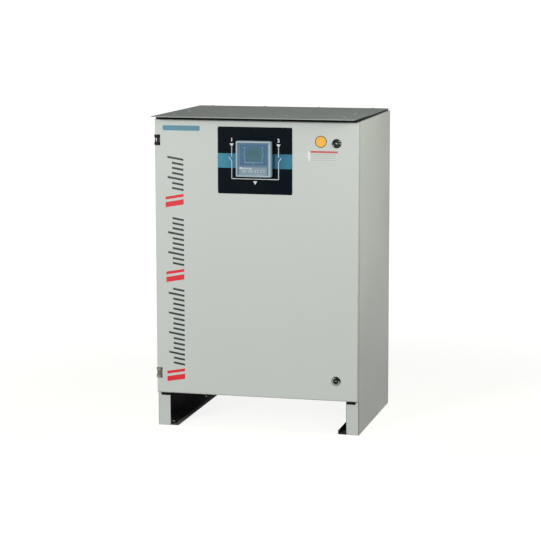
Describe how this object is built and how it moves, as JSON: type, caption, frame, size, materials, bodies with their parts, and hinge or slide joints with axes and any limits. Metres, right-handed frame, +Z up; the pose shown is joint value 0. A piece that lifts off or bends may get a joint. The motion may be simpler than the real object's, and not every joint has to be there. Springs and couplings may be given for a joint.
{
  "type": "automatic transfer switch",
  "caption": "Floor-standing sheet-steel cabinet on side legs with a hinged door, controller fascia and motor-driven changeover switch inside.",
  "frame": {"origin": "floor level, midway between the four anchor holes in the feet", "axes": "+Z up; -Y out of the door, the front; +X to the right seen from the front"},
  "size_m": [0.6005, 0.512, 0.9126],
  "materials": {
    "cabinet_paint": "light grey polyester powder coat, fine texture",
    "cam_steel": "zinc plated",
    "carriage_white": "natural polyamide",
    "clear_cover": "clear polycarbonate",
    "controller_grey": "blue-grey moulding",
    "copper": "tinned edges, bare copper",
    "device_grey": "light grey moulding",
    "dial_white": "white moulding",
    "door_paint": "light grey polyester powder coat, fine texture",
    "drive_grey": "dark grey moulding",
    "duct_grey": "grey PVC",
    "fascia_black": "black polyester overlay",
    "frame_grey": "light grey moulding",
    "galvanised_steel": "galvanised",
    "gasket_foam": "foamed polyurethane seal",
    "gland_black": "black polyamide",
    "handle_black": "black grip on a steel shank",
    "hinge_leaf_steel": "nickel plated",
    "key_white": "light grey rubber-touch moulding",
    "lever_grey": "dark grey moulding",
    "lock_insert": "dark zinc die casting",
    "lower_hinge_metal": "bare zinc die casting",
    "lower_lock_metal": "dark zinc die casting",
    "motor_casing": "black enamel",
    "roof_paint": "dark grey polyester powder coat",
    "screen_glass": "blue-green liquid crystal display",
    "shaft_steel": "machined steel",
    "shutter_orange": "orange moulding",
    "switch_black": "glass-filled polyester moulding",
    "upper_hinge_black": "black zinc die casting",
    "upper_lock_black": "black chromated",
    "zinc_fasteners": "zinc plated"
  },
  "bodies": {
    "cabinet": {"left_side": "cabinet_paint", "right_side": "cabinet_paint", "foot_rails": "cabinet_paint", "back_panel": "cabinet_paint", "top_panel": "cabinet_paint", "floor_pan": "cabinet_paint", "gland_plate": "galvanised_steel", "cable_glands": "gland_black", "roof_plate": "roof_paint", "roof_spacers": "zinc_fasteners", "roof_screws": "zinc_fasteners", "upper_hinge_bracket": "upper_hinge_black", "lower_hinge_bracket": "lower_hinge_metal", "hinge_pins": "zinc_fasteners", "mounting_plate": "galvanised_steel", "plate_studs": "zinc_fasteners", "switch_cases": "switch_black", "switch_cover": "clear_cover", "switch_terminals": "copper", "bridging_bars": "copper", "bridge_bolts": "zinc_fasteners", "drive_housing": "drive_grey", "drive_cover": "drive_grey", "drive_motor": "motor_casing", "manual_handle": "handle_black", "din_rail": "galvanised_steel", "fuse_bases": "device_grey", "terminal_blocks": "device_grey", "wiring_ducts": "duct_grey", "earth_bar": "copper"},
    "door": {"door_panel": "door_paint", "door_gasket": "gasket_foam", "door_stiffeners": "galvanised_steel", "hinge_leaves": "hinge_leaf_steel", "lock_nuts": "zinc_fasteners", "upper_lock_housing": "upper_lock_black", "lower_lock_housing": "lower_lock_metal", "fascia_plate": "fascia_black", "window_frame": "frame_grey", "controller_body": "controller_grey", "controller_screen": "screen_glass"},
    "window_cover": {"window_cover": "clear_cover"},
    "upper_lock": {"upper_lock_barrel": "lock_insert", "upper_lock_cam": "cam_steel"},
    "lower_lock": {"lower_lock_barrel": "lock_insert", "lower_lock_cam": "cam_steel"},
    "operating_shaft": {"operating_shaft": "shaft_steel", "position_dial": "dial_white"},
    "front_contacts": {"front_carriage": "carriage_white", "front_moving_contacts": "copper"},
    "rear_contacts": {"rear_carriage": "carriage_white", "rear_moving_contacts": "copper"},
    "motor_pinion": {"motor_pinion": "shaft_steel"},
    "mode_shutter": {"mode_shutter": "shutter_orange"},
    "fuse_lever_1": {"fuse_lever_1": "lever_grey"},
    "fuse_lever_2": {"fuse_lever_2": "lever_grey"},
    "key_1": {"controller_key_1": "key_white"},
    "key_2": {"controller_key_2": "key_white"},
    "key_3": {"controller_key_3": "key_white"},
    "key_4": {"controller_key_4": "key_white"}
  },
  "joints": [
    {"name": "door_hinge", "type": "hinge", "parent": "cabinet", "child": "door", "pos_m": [-0.292, -0.236, 0.4999], "axis": [0, 0, -1], "range_deg": [0, 120]},
    {"name": "window_cover_hinge", "type": "hinge", "parent": "door", "child": "window_cover", "pos_m": [-0.0459, -0.26075, 0.7925], "axis": [0, 0, -1], "range_deg": [0, 95]},
    {"name": "upper_lock_turn", "type": "hinge", "parent": "door", "child": "upper_lock", "pos_m": [0.236, -0.2124, 0.84], "axis": [0, -1, 0], "range_deg": [0, 90]},
    {"name": "lower_lock_turn", "type": "hinge", "parent": "door", "child": "lower_lock", "pos_m": [0.236, -0.2124, 0.1598], "axis": [0, 1, 0], "range_deg": [0, 90]},
    {"name": "operating_shaft_turn", "type": "hinge", "parent": "cabinet", "child": "operating_shaft", "pos_m": [0.08, 0.0575, 0.41144], "axis": [0, -1, 0], "range_deg": [-90, 90]},
    {"name": "front_contacts_slide", "type": "slide", "parent": "cabinet", "child": "front_contacts", "axis": [1, 0, 0], "range_m": [-0.01571, 0.01571]},
    {"name": "rear_contacts_slide", "type": "slide", "parent": "cabinet", "child": "rear_contacts", "axis": [1, 0, 0], "range_m": [-0.01571, 0.01571]},
    {"name": "motor_pinion_turn", "type": "hinge", "parent": "cabinet", "child": "motor_pinion", "pos_m": [0.08, 0.104, 0.38144], "axis": [0, -1, 0], "range_deg": [-270, 270]},
    {"name": "mode_shutter_slide", "type": "slide", "parent": "cabinet", "child": "mode_shutter", "axis": [0, 0, -1], "range_m": [0, 0.024]},
    {"name": "fuse_lever_1_hinge", "type": "hinge", "parent": "cabinet", "child": "fuse_lever_1", "pos_m": [-0.165, 0.1175, 0.682], "axis": [1, 0, 0], "range_deg": [0, 60]},
    {"name": "fuse_lever_2_hinge", "type": "hinge", "parent": "cabinet", "child": "fuse_lever_2", "pos_m": [-0.1465, 0.1175, 0.682], "axis": [1, 0, 0], "range_deg": [0, 60]},
    {"name": "key_1_press", "type": "slide", "parent": "door", "child": "key_1", "axis": [0, 1, 0], "range_m": [0, 0.0008], "stiffness_N_per_m": 250},
    {"name": "key_2_press", "type": "slide", "parent": "door", "child": "key_2", "axis": [0, 1, 0], "range_m": [0, 0.0008], "stiffness_N_per_m": 250},
    {"name": "key_3_press", "type": "slide", "parent": "door", "child": "key_3", "axis": [0, 1, 0], "range_m": [0, 0.0008], "stiffness_N_per_m": 250},
    {"name": "key_4_press", "type": "slide", "parent": "door", "child": "key_4", "axis": [0, 1, 0], "range_m": [0, 0.0008], "stiffness_N_per_m": 250}
  ],
  "couplings": [
    {"joint": "front_contacts_slide", "follows": "operating_shaft_turn", "m_per_rad": -0.01},
    {"joint": "rear_contacts_slide", "follows": "operating_shaft_turn", "m_per_rad": -0.01},
    {"joint": "motor_pinion_turn", "follows": "operating_shaft_turn", "ratio": -3}
  ]
}
